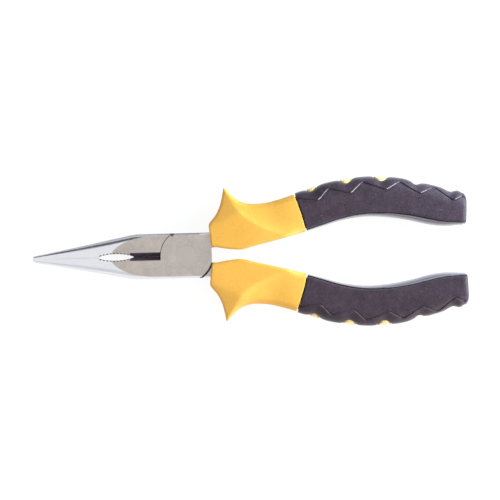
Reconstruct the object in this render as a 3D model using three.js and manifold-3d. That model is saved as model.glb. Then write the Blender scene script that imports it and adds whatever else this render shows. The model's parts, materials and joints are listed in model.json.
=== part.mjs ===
// Long nose pliers, 160 mm: two identical forged halves crossed in a lap joint on a flush rivet.
// Each half carries a two-material handle, a hard core with a finger guard under a soft grip.
// Millimetres. X runs along the tool with the tips at -X, Y runs across it, Z through its thickness.
import * as THREE from "three";
import { mergeVertices } from "three/addons/utils/BufferGeometryUtils.js";
import Module from "manifold-3d";

const wasm = await Module();
wasm.setup();

// ---- Driving dimensions -------------------------------------------------------------------

const TIP_X = -56.3; // tips, measured from the rivet
const HEAD_HALF_WIDTH = 8.3;
const HEAD_HALF_THICKNESS = 4.75;
const BOSS_RADIUS = 9.55; // the round boss of each half in the lap joint
const SEAM = 0.25; // gap round a boss
const SHOULDER_GAP = 0.42; // the wider gap where a boss faces the other half's tang
const EDGE_RELIEF = 0.7; // half diagonal of the notch where the seam reaches an edge of the head
const LAP_GAP = 0.1; // running gap between the two lapped bosses
const JAW_GAP = 0.06; // gap between the gripping faces when closed
const CROTCH_X = 9.3; // rear edge of the head, between the tangs
const CLEAR = 0.3; // gap between a handle piece and what it holds
const PAST = 6; // how far a cutting tool runs past what it cuts

const RIVET_RADIUS = 3;
const RIVET_HEAD_RADIUS = 3.7;
const RIVET_HEAD_DEPTH = 0.9;
const RIVET_FIT = 0.05; // radial running clearance

const CUTTER = { rear: -9.58, front: -20.8, halfWidth: 1.4, bevelDepth: 2.25, land: 0.06 };
const PIPE_GRIP = { centre: -26, depth: 1.2, radius: 13.2, teeth: 9, pitch: 1.24, bite: 0.45 };
const SERRATION = { first: -55.6, last: -33.2, pitch: 0.9, bite: 0.27 };

const GUARD_HALF_THICKNESS = 6.5;
const GUARD_RIM = { outer: 2.6, inner: 1.6 }; // rounding radii of the guard's two long edges
const FIN = { base: 11.5, height: 13, thinning: 4.1, power: 1.4 }; // the guard thins out towards its tip
const SCOOP = { depth: 1.15, reach: 2.6 }; // the hollow for the thumb behind the guard's crest
const NECK = { start: 31, length: 9, rise: 0.25 }; // the guard thickens again towards the grip
const GRIP_HALF_THICKNESS = 6.2;
const CORE_HALF_THICKNESS = 4.5; // the core where the grip covers it
const GRIP_WALL = 1.8;
const GRIP_END_X = 103.2;
const GRIP_FRONT_GAP = 0.3; // groove between the guard and the grip
const PAD_SINK = 0.3; // how far the core's pads lie below the grip's surface
const WINDOW = { first: 46.4, pitch: 12.75, inward: 4.5, outward: 4 };
const WINDOW_SIZES = [[1.8, 3.6], [2.4, 4.1], [2.45, 4.1], [1.6, 3.0]]; // half length, half height

const STEEL = { color: 0xb7afab, roughness: 0.32, metalness: 1 };
const RIVET_STEEL = { color: 0xa9a29e, roughness: 0.38, metalness: 1 };
const YELLOW_PLASTIC = { color: 0xf6b23c, roughness: 0.45, metalness: 0 };
const BLACK_RUBBER = { color: 0x3a353d, roughness: 0.75, metalness: 0 };

// ---- Curves -------------------------------------------------------------------------------

// A smooth function through [x, y] points, flat in slope beyond its ends.
function through(points) {
  const slope = points.map((_, i) => {
    const [x0, y0] = points[Math.max(i - 1, 0)];
    const [x1, y1] = points[Math.min(i + 1, points.length - 1)];
    return (y1 - y0) / (x1 - x0);
  });
  return (x) => {
    let i = points.findIndex(([px]) => px > x) - 1;
    if (x <= points[0][0]) i = 0;
    else if (i < 0) i = points.length - 2;
    const [x0, y0] = points[i];
    const [x1, y1] = points[i + 1];
    const h = x1 - x0;
    const t = Math.min(Math.max((x - x0) / h, 0), 1);
    const rise = 3 * t * t - 2 * t * t * t;
    const leave = t * (1 - t) * (1 - t) * h * slope[i];
    const arrive = t * t * (t - 1) * h * slope[i + 1];
    return y0 + (y1 - y0) * rise + leave + arrive;
  };
}

const spline = (points) => new THREE.SplineCurve(points.map(([x, y]) => new THREE.Vector2(x, y)));
const mix = (a, b, t) => a + (b - a) * t;
const steps = (n) => Array.from({ length: n + 1 }, (_, i) => i / n);
const axis = (x, y, z) => new THREE.Vector3(x, y, z);
const eased = (t) => (1 - Math.cos(Math.PI * t)) / 2; // crowds steps towards both ends

// Distance from point p to a polyline, with the sign of the side it lies on.
function signedDistance(p, line) {
  let best = { distance: Infinity, side: 1 };
  for (let i = 0; i + 1 < line.length; i++) {
    const along = line[i + 1].clone().sub(line[i]);
    const to = p.clone().sub(line[i]);
    const t = Math.min(Math.max(to.dot(along) / along.lengthSq(), 0), 1);
    const distance = to.distanceTo(along.clone().multiplyScalar(t));
    if (distance < best.distance) best = { distance, side: Math.sign(along.cross(to)) || 1 };
  }
  return best.distance * best.side;
}

// ---- Solids -------------------------------------------------------------------------------

function solidOf(geometry) {
  const loose = geometry.index ? geometry.toNonIndexed() : geometry;
  const bare = new THREE.BufferGeometry().setAttribute("position", loose.getAttribute("position"));
  const merged = mergeVertices(bare, 1e-4);
  const kept = [];
  for (let i = 0; i < merged.index.count; i += 3) {
    const [a, b, c] = merged.index.array.slice(i, i + 3);
    if (a !== b && b !== c && c !== a) kept.push(a, b, c);
  }
  const vertProperties = merged.getAttribute("position").array;
  const mesh = (triVerts) => new wasm.Mesh({ numProp: 3, vertProperties, triVerts });
  const made = new wasm.Manifold(mesh(new Uint32Array(kept)));
  return made.volume() > 0 ? made : new wasm.Manifold(mesh(new Uint32Array(kept.reverse())));
}

function geometryOf(solid) {
  const { vertProperties, triVerts, numProp } = solid.getMesh();
  const position = new Float32Array((vertProperties.length / numProp) * 3);
  for (let i = 0; i * numProp < vertProperties.length; i++)
    position.set(vertProperties.subarray(i * numProp, i * numProp + 3), i * 3);
  const geometry = new THREE.BufferGeometry();
  geometry.setAttribute("position", new THREE.BufferAttribute(position, 3));
  geometry.setIndex(new THREE.BufferAttribute(new Uint32Array(triVerts), 1));
  geometry.computeVertexNormals();
  return geometry;
}

// Skins a row of closed rings, each with the same number of points, and closes both ends.
function loft(rings) {
  const n = rings[0].length;
  const points = rings.flat();
  const index = [];
  for (let r = 0; r + 1 < rings.length; r++)
    for (let k = 0; k < n; k++) {
      const [a, b] = [r * n + k, r * n + ((k + 1) % n)];
      index.push(a, b, b + n, a, b + n, a + n);
    }
  for (const [ring, first] of [[rings[0], 0], [rings.at(-1), points.length - n]]) {
    const centre = ring.reduce((s, p) => s.add(p), new THREE.Vector3()).divideScalar(n);
    const middle = points.push(centre) - 1;
    for (let k = 0; k < n; k++) {
      const [a, b] = [first + k, first + ((k + 1) % n)];
      index.push(...(first ? [a, b, middle] : [b, a, middle]));
    }
  }
  const geometry = new THREE.BufferGeometry().setFromPoints(points);
  geometry.setIndex(index);
  return solidOf(geometry);
}

// A prism along Z over a plan outline of [x, y] points.
function prism(outline, z0, z1) {
  const shape = new THREE.Shape(outline.map(([x, y]) => new THREE.Vector2(x, y)));
  const geometry = new THREE.ExtrudeGeometry(shape, { depth: z1 - z0, bevelEnabled: false });
  return solidOf(geometry.translate(0, 0, z0));
}

function disc(radius, z0, z1, x = 0, y = 0, segments = 72) {
  const geometry = new THREE.CylinderGeometry(radius, radius, z1 - z0, segments);
  return solidOf(geometry.rotateX(Math.PI / 2).translate(x, y, (z0 + z1) / 2));
}

const rectangle = (x0, x1, y0, y1) => [[x0, y0], [x1, y0], [x1, y1], [x0, y1]];

// A notch tool: a diamond prism along Z that bites depth deep and is as wide at the surface.
function notch(x, y, depth) {
  return prism([[x - depth, y], [x, y - depth], [x + depth, y], [x, y + depth]], -PAST, PAST);
}

// ---- Forged half --------------------------------------------------------------------------

const noseHalfWidth = through([
  [TIP_X, 1.05], [-38, 4.58], [-21, 7.88], [-18.6, 8.22], [-16, HEAD_HALF_WIDTH], [12, HEAD_HALF_WIDTH],
]);
const noseHalfThickness = through([
  [TIP_X, 1.25], [-42, 2.9], [-28, 4.68], [-22, 5.6], [-16, 6.6], [-8, 8.4], [12, 13.4],
]);
// The power of the section's superellipse: 2 is an ellipse, and more is squarer.
const nosePower = through([[TIP_X, 2.3], [-40, 2.35], [-28, 2.7], [-22, 3.2], [-16, 3.4], [12, 3.4]]);
const RING_POINTS = 36;

// The closed head and nose of both halves together, before they are parted.
function headBlank() {
  const stations = [TIP_X, TIP_X + 0.25, -52, -46, -40, -34, -30, -27.5];
  stations.push(-25.5, -23.5, -21.5, -19.5, -17.5, -15, -12, -8, CROTCH_X);
  const rings = stations.map((x, i) => {
    const tipRounding = i === 0 ? 0.8 : 1;
    return steps(RING_POINTS).slice(0, -1).map((t) => {
      const angle = t * 2 * Math.PI;
      const [c, s] = [Math.cos(angle), Math.sin(angle)];
      const y = Math.sign(c) * Math.abs(c) ** (2 / nosePower(x)) * noseHalfWidth(x);
      const z = Math.sign(s) * Math.abs(s) ** (2 / nosePower(x)) * noseHalfThickness(x);
      return new THREE.Vector3(x, y * tipRounding, z * tipRounding);
    });
  });
  const slab = prism(rectangle(TIP_X - 1, CROTCH_X + 1, -20, 20), -HEAD_HALF_THICKNESS, HEAD_HALF_THICKNESS);
  return loft(rings).intersect(slab);
}

const tangInner = through([
  [5, 2.75], [9.3, 2.75], [13, 3.1], [17, 4.6], [22, 6.6], [30, 8.9], [40, 11.6], [50, 14.9], [60, 17.2],
  [70, 17.7], [80, 16.4], [88, 14.9],
]);
const tangWidth = through([[5, 5.4], [13, 5.6], [30, 5.5], [60, 4.7], [88, 3.6]]);
const tangHalfThickness = through([[5, 4.7], [13, 4.7], [17, 4.0], [22, 3.2], [40, 2.7], [88, 2.2]]);
const TANG_STATIONS = [5, 9.3, 11, 13, 15, 17, 19.5, 22, 26, 30, 35, 40, 45, 50, 55, 60, 65, 70, 75, 80, 88];

// The upper tang, or with clearance the hollow that holds it.
function tang(clearance = 0) {
  const bevel = 0.5;
  const rings = TANG_STATIONS.map((x, i) => {
    const shift = i === 0 ? -clearance : i === TANG_STATIONS.length - 1 ? clearance : 0;
    const [y0, y1] = [tangInner(x) - clearance, tangInner(x) + tangWidth(x) + clearance];
    const z = tangHalfThickness(x) + clearance;
    const corners = [
      [y0, -z + bevel], [y0 + bevel, -z], [y1 - bevel, -z], [y1, -z + bevel],
      [y1, z - bevel], [y1 - bevel, z], [y0 + bevel, z], [y0, z - bevel],
    ];
    return corners.map(([y, cz]) => new THREE.Vector3(x + shift, y, cz));
  });
  return loft(rings);
}

// The space beside one jaw's cutting edge: an upright slot that closes in a bevel to the edge.
function cutterRecess() {
  const { rear, front, halfWidth, bevelDepth, land } = CUTTER;
  const section = [
    [1, PAST], [-halfWidth, PAST], [-halfWidth, bevelDepth], [0, land], [1, land],
    [1, -land], [0, -land], [-halfWidth, -bevelDepth], [-halfWidth, -PAST], [1, -PAST],
  ];
  const faceUp = prism(section.slice(0, 5), front, rear);
  const faceDown = prism(section.slice(5), front, rear);
  const turn = new THREE.Matrix4().makeBasis(axis(0, 1, 0), axis(0, 0, 1), axis(1, 0, 0));
  return faceUp.add(faceDown).transform(turn.elements);
}

// The toothed hollow of one jaw for gripping round stock.
function pipeGrip() {
  const { centre, depth, radius, teeth, pitch, bite } = PIPE_GRIP;
  let tool = disc(radius, -PAST, PAST, centre, radius - depth, 120);
  for (let i = 0; i < teeth; i++) {
    const angle = ((i - (teeth - 1) / 2) * pitch) / radius;
    const x = centre + radius * Math.sin(angle);
    const y = radius - depth - radius * Math.cos(angle);
    tool = tool.add(notch(x, y, bite));
  }
  return tool;
}

function serrations() {
  const { first, last, pitch, bite } = SERRATION;
  let tool = notch(first, 0, bite);
  for (let x = first + pitch; x < last; x += pitch) tool = tool.add(notch(x, 0, bite));
  return tool;
}

// The rivet's outline turned about Z, grown by a clearance to make its bore.
function rivetSolid(clearance = 0, past = 0) {
  const [r, rh, z] = [RIVET_RADIUS + clearance, RIVET_HEAD_RADIUS + clearance, HEAD_HALF_THICKNESS];
  const half = [[rh, z + past], [rh, z], [rh - 0.05, z - 0.15], [r, z - RIVET_HEAD_DEPTH]];
  const outline = [[0, z + past], ...half, ...half.map(([x, y]) => [x, -y]).reverse(), [0, -z - past]];
  const kept = outline.filter(([x, y], i) => i === 0 || x !== outline[i - 1][0] || y !== outline[i - 1][1]);
  const profile = kept.map(([x, y]) => new THREE.Vector2(x, y)).reverse();
  return solidOf(new THREE.LatheGeometry(profile, 48).rotateX(Math.PI / 2));
}

// The half with the lower jaw, the front boss and the upper tang. The other half is its half turn about X.
function forgedHalf() {
  const blank = headBlank();
  const lap = LAP_GAP / 2;
  const pocketRadius = BOSS_RADIUS + SEAM;
  const jaw = blank.intersect(prism(rectangle(TIP_X - 1, 0, -20, -JAW_GAP / 2), -PAST, PAST));
  const shoulder = blank.intersect(prism(rectangle(4, CROTCH_X, 3, 20), -PAST, PAST));
  const cornerX = Math.sqrt(pocketRadius ** 2 - HEAD_HALF_WIDTH ** 2);
  const underLap = prism(rectangle(-20, 20, -20, 20), -PAST, lap);
  const besideTang = prism(rectangle(4, 20, 0, 20), -PAST, lap);
  let pocket = disc(pocketRadius, -PAST, lap);
  pocket = pocket.add(disc(BOSS_RADIUS + SHOULDER_GAP, -PAST, lap).intersect(besideTang));
  for (const side of [-1, 1]) {
    const corner = notch(side * cornerX, side * HEAD_HALF_WIDTH, EDGE_RELIEF);
    pocket = pocket.add(corner.intersect(underLap));
  }
  const boss = blank.intersect(disc(BOSS_RADIUS, lap, PAST));
  return jaw
    .add(shoulder)
    .add(tang())
    .subtract(pocket)
    .add(boss)
    .subtract(rivetSolid(RIVET_FIT, 1))
    .subtract(cutterRecess())
    .subtract(pipeGrip())
    .subtract(serrations());
}

// ---- Handle -------------------------------------------------------------------------------

const GUARD_FRONT_EDGE = spline([
  [8.4, 11.2], [9.4, 12.55], [10.6, 13.95], [11.7, 15.7], [12.6, 17.8], [13.2, 19.9], [13.7, 22.2],
  [14.2, 24.5],
]);
const GUARD_REAR_EDGE = spline([
  [14.2, 24.5], [15.7, 23.0], [17.1, 21.5], [18.6, 20.3], [20.3, 19.3], [22.4, 18.6], [25.5, 18.3],
  [30, 18.7], [34.5, 19.8], [39.8, 21.4],
]);
const GUARD_INNER_FRONT = spline([[9.45, 3.0], [12, 2.65], [15, 2.15], [19, 1.75]]);
const GUARD_INNER_REAR = spline([[19, 1.75], [21.5, 2.0], [25, 2.95], [31, 4.35], [37.5, 6.0], [44.05, 7.75]]);
// The crest between the guard's flat front and the thumb scoop behind it.
const CREST = spline([
  [14.2, 24.5], [15.7, 21.9], [17.1, 19.4], [18.75, 16.9], [21.1, 14], [26.3, 10.5], [31.5, 8.2],
  [38, 5.8],
]).getPoints(48);

const gripInner = through([
  [44.05, 7.75], [50, 9.45], [57, 11.45], [65.5, 12.62], [74, 12.2], [82, 10.85], [89, 9.2], [94.5, 8.5],
  [102, 8.75],
]);
const gripOuter = through([
  [39.8, 21.7], [42.5, 22.65], [48, 24.4], [53, 25.7], [59.5, 26.85], [66, 27.4], [72.5, 27.35],
  [79, 26.55], [85, 25.2], [91, 23.6], [97, 21.8], [102, 20.4],
]);
// How far the inner side of the grip swells out past the edge of its flat face.
const gripSwell = through([[44, 0.35], [58, 0.5], [72, 1], [88, 1.6], [96, 1.1], [102, 0.5]]);
const GRIP_FRONT = { inner: 44.05, outer: 39.8 };
const GRIP_REAR = { inner: 100.9, outer: 101.5 };

// Half thickness of the guard at a plan point, before its rim is rounded.
function guardHeight(p) {
  const up = Math.max(p.y - FIN.base, 0) / FIN.height;
  const behindCrest = Math.max(signedDistance(p, CREST), 0);
  const scoop = SCOOP.depth * (1 - Math.exp(-behindCrest / SCOOP.reach));
  const neck = Math.min(Math.max(p.x - NECK.start, 0) / NECK.length, 1);
  return GUARD_HALF_THICKNESS - FIN.thinning * up ** FIN.power - scoop + NECK.rise * neck;
}

// Rounds a rim of the given radius: 0 at the edge, 1 from that distance inwards.
function rim(distance, radius) {
  const t = 1 - Math.min(distance / radius, 1);
  return Math.sqrt(Math.max(1 - t * t, 0));
}

// A closed ring from an inner to an outer plan point, at the half height of each point between.
function ring(inner, outer, ts, halfHeight) {
  const top = ts.map((t) => {
    const p = inner.clone().lerp(outer, t);
    return new THREE.Vector3(p.x, p.y, halfHeight(p, t));
  });
  const bottom = top.slice(1, -1).reverse().map((p) => new THREE.Vector3(p.x, p.y, -p.z));
  return [...top, ...bottom];
}

// The two plan points between which the grip's section lies, at share s of its length.
function gripSpan(s, insetInner = 0, insetOuter = 0) {
  const xi = mix(GRIP_FRONT.inner, GRIP_REAR.inner, s);
  const xo = mix(GRIP_FRONT.outer, GRIP_REAR.outer, s);
  const inner = new THREE.Vector2(xi, gripInner(xi));
  const outer = new THREE.Vector2(xo, gripOuter(xo));
  const width = inner.distanceTo(outer);
  return [inner.clone().lerp(outer, insetInner / width), outer.clone().lerp(inner, insetOuter / width)];
}

const CORE_TS = steps(9).map(eased);
const CORE_END_SHARE = 0.93;

// The part of the core that the grip covers, or with clearance the hollow in the grip.
function coreShaftRings(clearance = 0) {
  const shares = steps(11).map((s) => s * CORE_END_SHARE);
  return shares.map((s, i) => {
    const last = i === shares.length - 1;
    const inset = GRIP_WALL - clearance;
    const [inner, outer] = gripSpan(s, inset + gripSwell(mix(44, 102, s)) * 0.6, inset);
    if (clearance && i === 0) [inner, outer].forEach((p) => (p.x -= 1));
    if (clearance && last) [inner, outer].forEach((p) => (p.x += clearance));
    const half = inner.distanceTo(outer) / 2;
    return ring(inner, outer, CORE_TS, (p, t) => {
      const across = Math.abs(2 * t - 1);
      return (CORE_HALF_THICKNESS + clearance) * (1 - across ** 3.2) ** (1 / 2.6) * Math.min(half / 3, 1);
    });
  });
}

// The hard core: guard, neck and the shaft under the grip, around the hollow for the tang.
function coreBody() {
  const outline = [...GUARD_FRONT_EDGE.getPoints(40), ...GUARD_REAR_EDGE.getPoints(60)];
  const innerLine = [...GUARD_INNER_FRONT.getPoints(20), ...GUARD_INNER_REAR.getPoints(30)];
  const guardRing = (inner, outer) =>
    ring(inner, outer, CORE_TS, (p) => {
      const outerRim = rim(Math.abs(signedDistance(p, outline)), GUARD_RIM.outer);
      const innerRim = rim(Math.abs(signedDistance(p, innerLine)), GUARD_RIM.inner);
      return guardHeight(p) * Math.min(outerRim, innerRim);
    });
  const front = steps(7)
    .map((s) => guardRing(GUARD_INNER_FRONT.getPointAt(s), GUARD_FRONT_EDGE.getPointAt(s)));
  const rear = steps(10)
    .slice(1)
    .map((s) => guardRing(GUARD_INNER_REAR.getPointAt(s), GUARD_REAR_EDGE.getPointAt(s)));
  return loft([...front, ...rear, ...coreShaftRings()]);
}

// The grip's outer skin, as a loft of its section from the inner side over the flat face to the spine.
function gripSkin(shrink = 0) {
  const T = GRIP_HALF_THICKNESS - shrink;
  const spineDepth = 5.2;
  const spineAngles = [78, 62, 46, 30, 15].map((a) => (a * Math.PI) / 180);
  const section = (s, insetEdge, xPush) => {
    const [inner, outer] = gripSpan(s, shrink + insetEdge, shrink + insetEdge);
    const width = inner.distanceTo(outer);
    const swell = gripSwell(mix(44, 102, s));
    const t = Math.max(T - insetEdge, 0.5);
    const upper = [
      [0, 0], [swell * 0.08, t * 0.35], [swell * 0.4, t * 0.68], [swell, t - 0.8], [swell + 0.7, t],
      [width - spineDepth, t],
      ...spineAngles.map((a) => [width - spineDepth * (1 - Math.cos(a) ** 0.9), t * Math.sin(a) ** 0.9]),
      [width, 0],
    ];
    const lower = upper.slice(1, -1).reverse().map(([u, z]) => [u, -z]);
    return [...upper, ...lower].map(([u, z]) => {
      const p = inner.clone().lerp(outer, u / width);
      return new THREE.Vector3(p.x + xPush, p.y, z);
    });
  };
  const body = steps(17).map((s) => section(s, 0, 0));
  const reach = GRIP_END_X - (GRIP_REAR.inner + GRIP_REAR.outer) / 2 - shrink;
  const end = [[0.25, 0.55], [0.8, 0.88], [1.6, 1]].map(([inset, share]) => section(1, inset, reach * share));
  return loft([...body, ...end]);
}

// Oval windows along the grip's spine, through which the core shows.
function windows(grow = 0) {
  let tool = null;
  WINDOW_SIZES.forEach(([halfLength, halfHeight], i) => {
    const x = WINDOW.first + i * WINDOW.pitch;
    const outline = new THREE.EllipseCurve(x, 0, halfLength + grow, halfHeight + grow);
    const oval = outline.getPoints(20).slice(0, -1);
    const ends = [gripOuter(x) - WINDOW.inward, gripOuter(x) + WINDOW.outward];
    const plug = loft(ends.map((y) => oval.map((p) => new THREE.Vector3(p.x, y, p.y))));
    tool = tool ? tool.add(plug) : plug;
  });
  return tool;
}

function handleCore() {
  const pads = windows().intersect(gripSkin(PAD_SINK));
  return coreBody().add(pads).subtract(tang(CLEAR));
}

function handleGrip() {
  const hollow = loft(coreShaftRings(CLEAR));
  const [inner, outer] = gripSpan(0);
  const across = outer.clone().sub(inner).normalize();
  const forward = new THREE.Vector2(-across.y, across.x);
  const at = (p, along, out) => {
    const q = p.clone().addScaledVector(forward, along).addScaledVector(across, out);
    return [q.x, q.y];
  };
  const past = 9;
  const front = [at(inner, -GRIP_FRONT_GAP, -past), at(outer, -GRIP_FRONT_GAP, past)];
  const trim = prism([...front, at(outer, past, past), at(inner, past, -past)], -past, past);
  return gripSkin().subtract(hollow).subtract(windows(CLEAR)).subtract(trim);
}

// ---- Assembly -----------------------------------------------------------------------------

function mesh(name, solid, material) {
  const made = new THREE.Mesh(geometryOf(solid), new THREE.MeshStandardMaterial(material));
  made.name = name;
  return made;
}

const forging = forgedHalf();
const core = handleCore();
const grip = handleGrip();

const frontHalf = new THREE.Group();
frontHalf.add(mesh("front_half_forging", forging, STEEL));
frontHalf.add(mesh("upper_handle_core", core, YELLOW_PLASTIC));
frontHalf.add(mesh("upper_handle_grip", grip, BLACK_RUBBER));

const rearHalf = new THREE.Group();
rearHalf.rotation.x = Math.PI;
rearHalf.add(mesh("rear_half_forging", forging, STEEL));
rearHalf.add(mesh("lower_handle_core", core, YELLOW_PLASTIC));
rearHalf.add(mesh("lower_handle_grip", grip, BLACK_RUBBER));
rearHalf.add(mesh("pivot_rivet", rivetSolid(), RIVET_STEEL));

const pliers = new THREE.Group();
pliers.add(frontHalf, rearHalf);
pliers.position.z = HEAD_HALF_THICKNESS; // the rear face of the joint lies at Z = 0

export default pliers;
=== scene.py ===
"""Long nose pliers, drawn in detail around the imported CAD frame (Blender 4.5).

The tool's two halves are alike, turned half a turn about X. Each sub-part is therefore built once, in
millimetres, with z measured from the middle of the tool's thickness, and is then placed for each half.
"""
import json
import math

import bpy
import numpy as np
from mathutils import Matrix, Vector


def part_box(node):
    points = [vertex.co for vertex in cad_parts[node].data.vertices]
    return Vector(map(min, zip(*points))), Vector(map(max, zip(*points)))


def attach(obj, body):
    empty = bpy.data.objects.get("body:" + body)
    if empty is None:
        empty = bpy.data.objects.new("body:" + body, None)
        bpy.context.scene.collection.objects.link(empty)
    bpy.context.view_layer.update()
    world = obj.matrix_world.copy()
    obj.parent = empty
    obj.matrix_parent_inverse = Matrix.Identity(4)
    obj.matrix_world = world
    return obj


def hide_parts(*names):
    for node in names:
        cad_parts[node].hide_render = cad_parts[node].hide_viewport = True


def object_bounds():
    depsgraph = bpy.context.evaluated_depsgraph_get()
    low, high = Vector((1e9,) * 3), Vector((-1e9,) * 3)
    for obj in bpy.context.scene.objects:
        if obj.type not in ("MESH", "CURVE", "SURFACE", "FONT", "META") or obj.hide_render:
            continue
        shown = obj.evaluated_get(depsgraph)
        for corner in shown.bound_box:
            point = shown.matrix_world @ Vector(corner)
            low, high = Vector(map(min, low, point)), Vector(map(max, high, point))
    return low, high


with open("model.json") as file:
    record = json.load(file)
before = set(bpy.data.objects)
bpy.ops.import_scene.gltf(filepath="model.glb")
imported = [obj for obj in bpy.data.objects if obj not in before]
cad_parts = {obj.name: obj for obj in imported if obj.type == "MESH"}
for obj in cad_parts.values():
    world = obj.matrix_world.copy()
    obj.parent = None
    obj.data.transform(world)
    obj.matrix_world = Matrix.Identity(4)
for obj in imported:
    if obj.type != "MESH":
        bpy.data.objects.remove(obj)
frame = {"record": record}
cad_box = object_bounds()

# ---- Driving dimensions, mm ------------------------------------------

MM = 0.001
STEEL_BOX = [[v / MM for v in corner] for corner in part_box("front_half_forging")]
GRIP_BOX = [[v / MM for v in corner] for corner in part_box("upper_handle_grip")]
JOINT_Z = [m["pos_m"][2] / MM for m in frame["record"]["mounts"]]
HALF_THICK = (max(JOINT_Z) - min(JOINT_Z)) / 2
MIDDLE_Z = (max(JOINT_Z) + min(JOINT_Z)) / 2

TIP_X = STEEL_BOX[0][0]
HEAD_HALF_WIDTH = 8.3
CROTCH_X = 9.3
SHOULDER_END = 10.4  # inside the handle core
SHOULDER_Y = 3.0  # inner side of the shoulder that carries the tang
BOSS_RADIUS = 9.5
SEAM = 0.16  # gap round a boss
SHOULDER_GAP = 0.6  # the wider gap where a boss faces the other half's shoulder
# The reliefs where the seam reaches the head's edges, a wide one by the nose and a small one by the tang.
NOTCH = {"nose_size": 1.25, "tail_size": 0.5, "depth": 2.4, "outset": 0.15}
LAP_GAP = 0.1  # between the two lapped bosses
JAW_GAP = 0.004  # between the closed jaws
CHAMFER = 0.08
PAST = 7  # half height of a cutting tool, which runs past both faces
WIDE = 20  # how far a tool reaches to each side, past the head

RIVET = {"radius": 3.0, "head_radius": 3.7, "head_depth": 0.9, "fit": 0.02}
TANG_SPAN = (5, 88)

CUTTER = {"rear": -9.45, "front": -20.7, "half_width": 1.42, "bevel_depth": 2.25, "land": 0.03}
PIPE_GRIP = {"centre": -26.0, "depth": 1.2, "reach": 6.65, "fullness": 0.75, "teeth": 9, "pitch": 1.25,
             "first": -31.45}
TOOTH_BITE = 0.52  # how deep the hollow's notches are at the flat faces
SERRATION = {"first": -55.6, "last": -33.0, "pitch": 0.9, "bite": 0.24}

GUARD_HALF_THICK = 6.5
GUARD_RIM = {"front": 1.0, "rear": 2.5, "mouth": 0.5, "junction": 0.2}  # rounding radii
WING_SLOPE = 0.37  # how fast the guard thins beyond the crease of its wing
FACET_SLOPE = 0.06
SCOOP = {"depth": 1.5, "reach": 3.2, "neck": (29, 40), "neck_depth": 0.8}  # the hollow for the thumb

GRIP_HALF_THICK = 6.25  # at the raised band along the spine
BAND_STEP = 0.4  # how far the band stands above the flat face
GRIP_END_X = GRIP_BOX[1][0] - 0.35
GRIP_WALL = 1.7
SHAFT_HALF_THICK = 4.4  # the core where the grip covers it
WINDOW = {"first": 46.4, "pitch": 12.75, "power": 2.2, "sunk_rim": 0.2}
WINDOW_SIZES = [(1.75, 3.1), (2.4, 3.85), (2.45, 3.95), (1.3, 2.6)]  # half length and half height of each
PAD_SINK = {"all": 0.2, "last": 0.7}  # how far the pads lie below the grip's surface, the last one by both
SCALLOP = 0.85  # how deep the grip's spine dips at each window, and once more behind the last


# ---- Curves ----------------------------------------------------------

def through(points):
    """A smooth function through (x, y) points."""
    px, py = np.array(points, float).T
    wide_x, wide_y = (np.r_[v[:1], v, v[-1:]] for v in (px, py))
    slope = (wide_y[2:] - wide_y[:-2]) / (wide_x[2:] - wide_x[:-2])

    def at(x):
        i = np.clip(np.searchsorted(px, x, side="right") - 1, 0, len(px) - 2)
        h = px[i + 1] - px[i]
        t = np.clip((x - px[i]) / h, 0, 1)
        rise = 3 * t**2 - 2 * t**3
        leave = t * (1 - t) ** 2 * h * slope[i]
        arrive = t**2 * (t - 1) * h * slope[i + 1]
        return py[i] + (py[i + 1] - py[i]) * rise + leave + arrive

    return at


def plan_curve(points, count):
    """count + 1 evenly spaced points along a smooth curve through (x, y) points."""
    p = np.array(points, float)
    p = np.vstack([2 * p[0] - p[1], p, 2 * p[-1] - p[-2]])
    t = np.linspace(0, 1, 40)[:, None]
    spans = []
    for a, b, c, d in zip(p, p[1:], p[2:], p[3:]):
        spans.append(0.5 * (2 * b + (c - a) * t + (2 * a - 5 * b + 4 * c - d) * t**2
                            + (3 * b - 3 * c + d - a) * t**3))
    dense = np.vstack(spans)
    length = np.r_[0, np.cumsum(np.hypot(*np.diff(dense, axis=0).T))]
    even = np.linspace(0, length[-1], count + 1)
    return np.column_stack([np.interp(even, length, dense[:, k]) for k in (0, 1)])


def smooth_step(x, low, high):
    """0 below low and 1 above high, with a smooth rise between."""
    t = np.clip((x - low) / (high - low), 0, 1)
    return t * t * (3 - 2 * t)


def soft_positive(x, width):
    """x where it is well above 0, and 0 where it is well below, turning within about width."""
    return 0.5 * (x + np.sqrt(x * x + width * width))


def line_distance(x, y, line):
    """Distance from each point to a polyline, and which side of it the point lies on."""
    best = np.full(np.broadcast(x, y).shape, np.inf)
    side = np.ones(best.shape)
    for (ax, ay), (bx, by) in zip(line, line[1:]):
        ux, uy = bx - ax, by - ay
        t = np.clip(((x - ax) * ux + (y - ay) * uy) / (ux * ux + uy * uy), 0, 1)
        away = np.hypot(x - ax - t * ux, y - ay - t * uy)
        nearer = away < best
        best = np.where(nearer, away, best)
        side = np.where(nearer, np.sign(ux * (y - ay) - uy * (x - ax)), side)
    return best, side


def outline_distance(x, y, outline):
    """Distance from each point to a closed outline, below 0 inside it."""
    closed = np.vstack([outline, outline[:1]])
    best, _ = line_distance(x, y, closed)
    inside = np.zeros(best.shape, bool)
    for (ax, ay), (bx, by) in zip(closed, closed[1:]):
        if ay != by:
            inside ^= ((ay > y) != (by > y)) & (x < (bx - ax) * (y - ay) / (by - ay) + ax)
    return np.where(inside, -best, best)


# ---- Meshes ----------------------------------------------------------

def mesh_object(name, vertices, faces):
    mesh = bpy.data.meshes.new(name)
    mesh.from_pydata([tuple(map(float, v)) for v in vertices], [], [tuple(map(int, f)) for f in faces])
    mesh.validate()
    made = bpy.data.objects.new(name, mesh)
    bpy.context.scene.collection.objects.link(made)
    turn_outwards(mesh)
    return made


def corner_points(mesh):
    co = np.zeros(len(mesh.vertices) * 3, np.float64)
    mesh.vertices.foreach_get("co", co)
    return co.reshape(-1, 3)


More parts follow.
